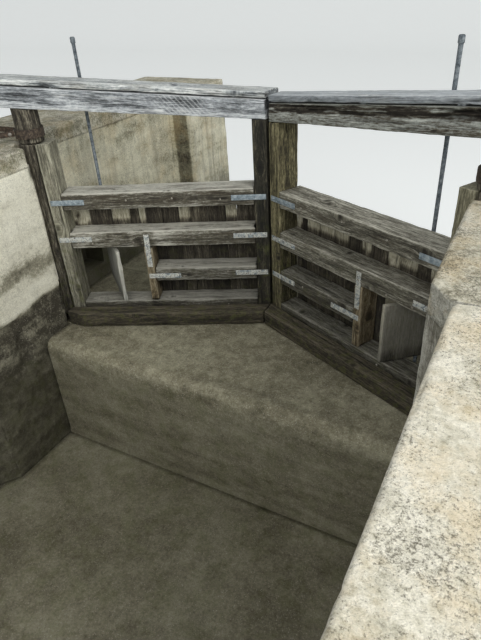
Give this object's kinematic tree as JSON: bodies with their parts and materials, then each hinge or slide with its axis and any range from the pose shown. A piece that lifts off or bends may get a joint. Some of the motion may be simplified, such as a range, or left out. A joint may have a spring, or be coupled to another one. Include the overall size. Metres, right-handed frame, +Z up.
{
  "type": "sluice gate",
  "caption": "Pair of timber mitre gate leaves with balance beams and turning paddles, hung in a concrete lock head.",
  "frame": {"origin": "underside of the mitre block, straight below the point where the two closed leaves meet", "axes": "+X to the right looking upstream, +Y upstream, +Z up"},
  "size_m": [9.9954, 7.6, 4.8358],
  "materials": {
    "wall_concrete": "matte",
    "coping_concrete": "matte",
    "beam_timber": "matte",
    "cap_timber": "matte",
    "frame_timber": "matte",
    "plank_timber": "matte",
    "paddle_timber": "matte",
    "galvanised_steel": "satin",
    "rusty_iron": "matte"
  },
  "bodies": {
    "lock_head": {"left_tail_wall": "wall_concrete", "left_recess_wall": "wall_concrete", "left_head_wall": "wall_concrete", "left_coping": "coping_concrete", "right_tail_wall": "wall_concrete", "right_recess_wall": "wall_concrete", "right_head_wall": "wall_concrete", "right_coping": "coping_concrete", "breast_wall": "wall_concrete", "upper_floor": "wall_concrete", "cutoff_wall": "wall_concrete", "lower_floor": "wall_concrete", "mitre_sill": "frame_timber", "collars": "rusty_iron", "anchors": "rusty_iron", "pintles": "rusty_iron"},
    "left_leaf": {"left_heel_post": "frame_timber", "left_quoin_post": "frame_timber", "left_mitre_post": "frame_timber", "left_top_rail": "frame_timber", "left_middle_rail": "frame_timber", "left_lower_rail": "frame_timber", "left_bottom_rail": "frame_timber", "left_stile": "frame_timber", "left_planking": "plank_timber", "left_beam": "beam_timber", "left_beam_cap": "cap_timber", "left_straps": "galvanised_steel", "left_stem_guides": "rusty_iron"},
    "left_paddle_body": {"left_paddle": "paddle_timber", "left_stem": "rusty_iron"},
    "right_leaf": {"right_heel_post": "frame_timber", "right_quoin_post": "frame_timber", "right_mitre_post": "frame_timber", "right_top_rail": "frame_timber", "right_middle_rail": "frame_timber", "right_lower_rail": "frame_timber", "right_bottom_rail": "frame_timber", "right_stile": "frame_timber", "right_planking": "plank_timber", "right_beam": "beam_timber", "right_beam_cap": "cap_timber", "right_straps": "galvanised_steel", "right_stem_guides": "rusty_iron"},
    "right_paddle_body": {"right_paddle": "paddle_timber", "right_stem": "rusty_iron"}
  },
  "joints": [
    {"name": "left_leaf_swing", "type": "hinge", "parent": "lock_head", "child": "left_leaf", "pos_m": [-2.34287, -0.94619, 2.8], "axis": [0, 0, 1], "range_deg": [0, 64.9]},
    {"name": "right_leaf_swing", "type": "hinge", "parent": "lock_head", "child": "right_leaf", "pos_m": [2.27042, -0.91226, 2.8], "axis": [0, 0, -1], "range_deg": [0, 64.9]},
    {"name": "left_paddle_turn", "type": "hinge", "parent": "left_leaf", "child": "left_paddle_body", "pos_m": [-1.88875, -0.52476, 2.3], "axis": [0, 0, 1], "range_deg": [-25, 65]},
    {"name": "right_paddle_turn", "type": "hinge", "parent": "right_leaf", "child": "right_paddle_body", "pos_m": [1.81631, -0.49083, 2.3], "axis": [0, 0, -1], "range_deg": [-25, 65]}
  ]
}
